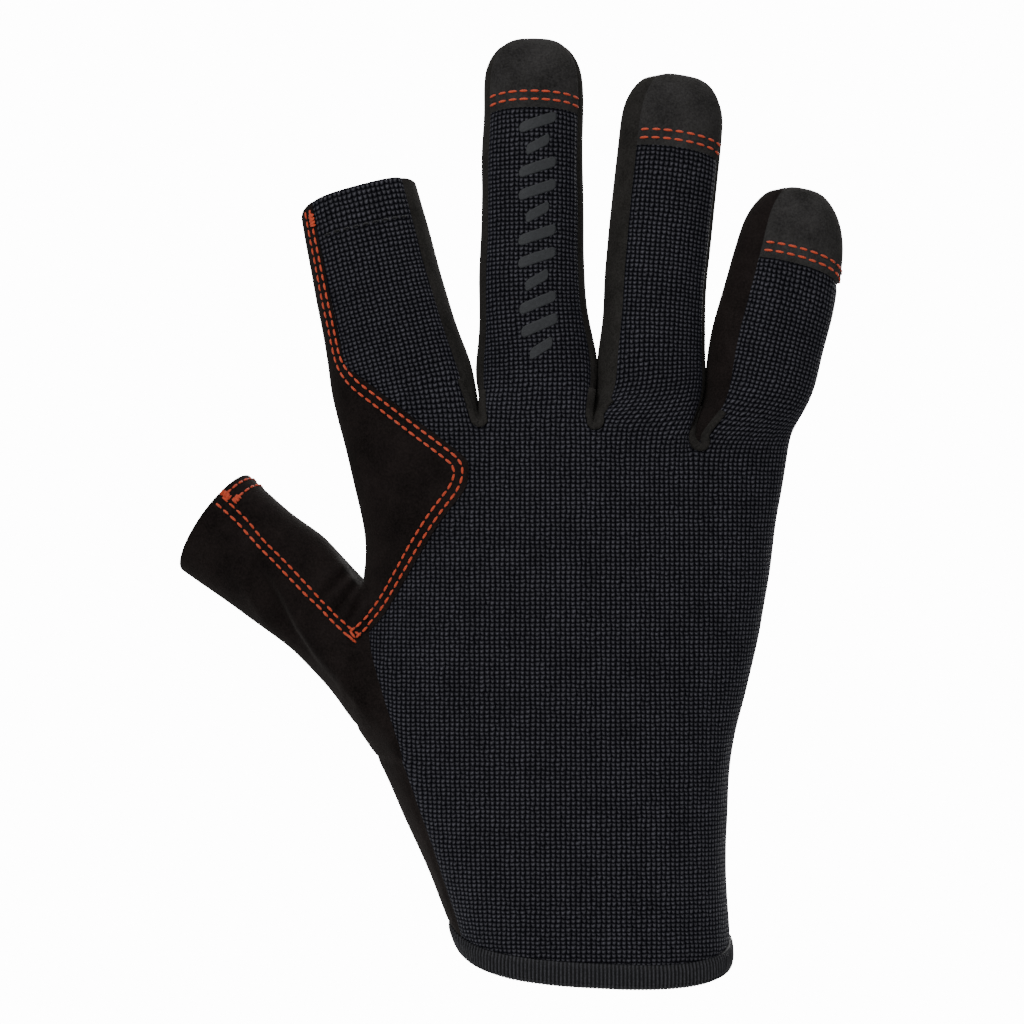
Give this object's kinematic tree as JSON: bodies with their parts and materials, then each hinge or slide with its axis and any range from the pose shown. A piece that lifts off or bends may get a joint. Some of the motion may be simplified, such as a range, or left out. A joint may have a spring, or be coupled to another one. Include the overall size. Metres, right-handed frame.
{
  "type": "sailing glove",
  "caption": "Right-hand sailing glove with cut-off thumb and index finger, full knit-backed fingers with suede tips, suede palm and a bound slip-on cuff.",
  "frame": {"origin": "middle of the wrist opening, where the hand goes in", "axes": "+Z to the fingertips, +X to the little finger, +Y out of the palm; the back of the hand faces -Y"},
  "size_m": [0.1576, 0.0423, 0.2287],
  "materials": {
    "knit": "fine stretch knit of small raised loops, dull",
    "suede": "synthetic suede, matt with a short nap",
    "gusset_suede": "thin synthetic suede, matt",
    "cap_suede": "synthetic suede, matt, slightly paler",
    "binding": "ribbed elastic tape",
    "orange_thread": "twisted bright orange polyester thread",
    "dark_thread": "twisted black polyester thread"
  },
  "bodies": {
    "hand": {"back_panel": "knit", "palm_panel": "suede", "palm_patch": "suede", "saddle_patch": "suede", "saddle_stitching": "orange_thread", "thumb_base_inner": "suede", "thumb_base_outer": "suede", "index_middle_gusset": "gusset_suede", "middle_ring_gusset": "gusset_suede", "ring_little_gusset": "gusset_suede", "cuff_binding": "binding", "index_root_flex": "gusset_suede", "middle_root_flex": "gusset_suede", "ring_root_flex": "gusset_suede", "little_root_flex": "gusset_suede", "thumb_flex": "gusset_suede"},
    "index_lower": {"index_lower_back": "knit", "index_lower_strip": "suede", "index_lower_gusset": "gusset_suede", "index_lower_palm": "suede", "index_knuckle_flex": "gusset_suede"},
    "index_upper": {"index_upper_back": "knit", "index_upper_strip": "suede", "index_upper_gusset": "gusset_suede", "index_upper_palm": "suede", "index_hem": "suede", "index_hem_stitching": "dark_thread"},
    "middle_lower": {"middle_lower_back": "knit", "middle_lower_gussets": "gusset_suede", "middle_lower_palm": "suede", "middle_knuckle_flex": "gusset_suede"},
    "middle_upper": {"middle_upper_back": "knit", "middle_upper_gussets": "gusset_suede", "middle_upper_palm": "suede", "middle_cap": "cap_suede", "middle_cap_stitching": "orange_thread"},
    "ring_lower": {"ring_lower_back": "knit", "ring_lower_gussets": "gusset_suede", "ring_lower_palm": "suede", "ring_knuckle_flex": "gusset_suede"},
    "ring_upper": {"ring_upper_back": "knit", "ring_upper_gussets": "gusset_suede", "ring_upper_palm": "suede", "ring_cap": "cap_suede", "ring_cap_stitching": "orange_thread"},
    "little_lower": {"little_lower_back": "knit", "little_lower_gusset": "gusset_suede", "little_lower_palm": "suede", "little_knuckle_flex": "gusset_suede"},
    "little_upper": {"little_upper_back": "knit", "little_upper_gusset": "gusset_suede", "little_upper_palm": "suede", "little_cap": "cap_suede", "little_cap_stitching": "orange_thread"},
    "thumb": {"thumb_inner": "suede", "thumb_outer": "suede", "thumb_hem": "suede", "thumb_hem_stitching": "orange_thread"}
  },
  "joints": [
    {"name": "index_base", "type": "hinge", "parent": "hand", "child": "index_lower", "pos_m": [-0.04581, 0.00062, 0.14], "axis": [-0.9925, 0, -0.1219], "range_deg": [0, 60], "stiffness_Nm_per_rad": 0.03, "deforming": ["index_root_flex"]},
    {"name": "index_knuckle", "type": "hinge", "parent": "index_lower", "child": "index_upper", "pos_m": [-0.05132, 0.0027, 0.16336], "axis": [-0.9925, 0, -0.1219], "range_deg": [0, 70], "stiffness_Nm_per_rad": 0.02, "deforming": ["index_knuckle_flex"]},
    {"name": "middle_base", "type": "hinge", "parent": "hand", "child": "middle_lower", "pos_m": [-0.01379, 0.00077, 0.14045], "axis": [-1, 0, 0], "range_deg": [0, 60], "stiffness_Nm_per_rad": 0.03, "deforming": ["middle_root_flex"]},
    {"name": "middle_knuckle", "type": "hinge", "parent": "middle_lower", "child": "middle_upper", "pos_m": [-0.01427, 0.00335, 0.16744], "axis": [-1, 0, 0], "range_deg": [0, 70], "stiffness_Nm_per_rad": 0.02, "deforming": ["middle_knuckle_flex"]},
    {"name": "ring_base", "type": "hinge", "parent": "hand", "child": "ring_lower", "pos_m": [0.01407, 0.00076, 0.13706], "axis": [-0.9986, 0, 0.0523], "range_deg": [0, 60], "stiffness_Nm_per_rad": 0.03, "deforming": ["ring_root_flex"]},
    {"name": "ring_knuckle", "type": "hinge", "parent": "ring_lower", "child": "ring_upper", "pos_m": [0.01614, 0.0032, 0.16247], "axis": [-0.9986, 0, 0.0523], "range_deg": [0, 70], "stiffness_Nm_per_rad": 0.02, "deforming": ["ring_knuckle_flex"]},
    {"name": "little_base", "type": "hinge", "parent": "hand", "child": "little_lower", "pos_m": [0.03873, 0.00086, 0.13346], "axis": [-0.9945, 0, 0.1045], "range_deg": [0, 60], "stiffness_Nm_per_rad": 0.03, "deforming": ["little_root_flex"]},
    {"name": "little_knuckle", "type": "hinge", "parent": "little_lower", "child": "little_upper", "pos_m": [0.04272, 0.00319, 0.15306], "axis": [-0.9945, 0, 0.1045], "range_deg": [0, 70], "stiffness_Nm_per_rad": 0.02, "deforming": ["little_knuckle_flex"]},
    {"name": "thumb_base", "type": "hinge", "parent": "hand", "child": "thumb", "pos_m": [-0.07577, 0.00484, 0.09063], "axis": [-0.6018, 0, -0.7986], "range_deg": [0, 45], "stiffness_Nm_per_rad": 0.03, "deforming": ["thumb_flex"]}
  ]
}
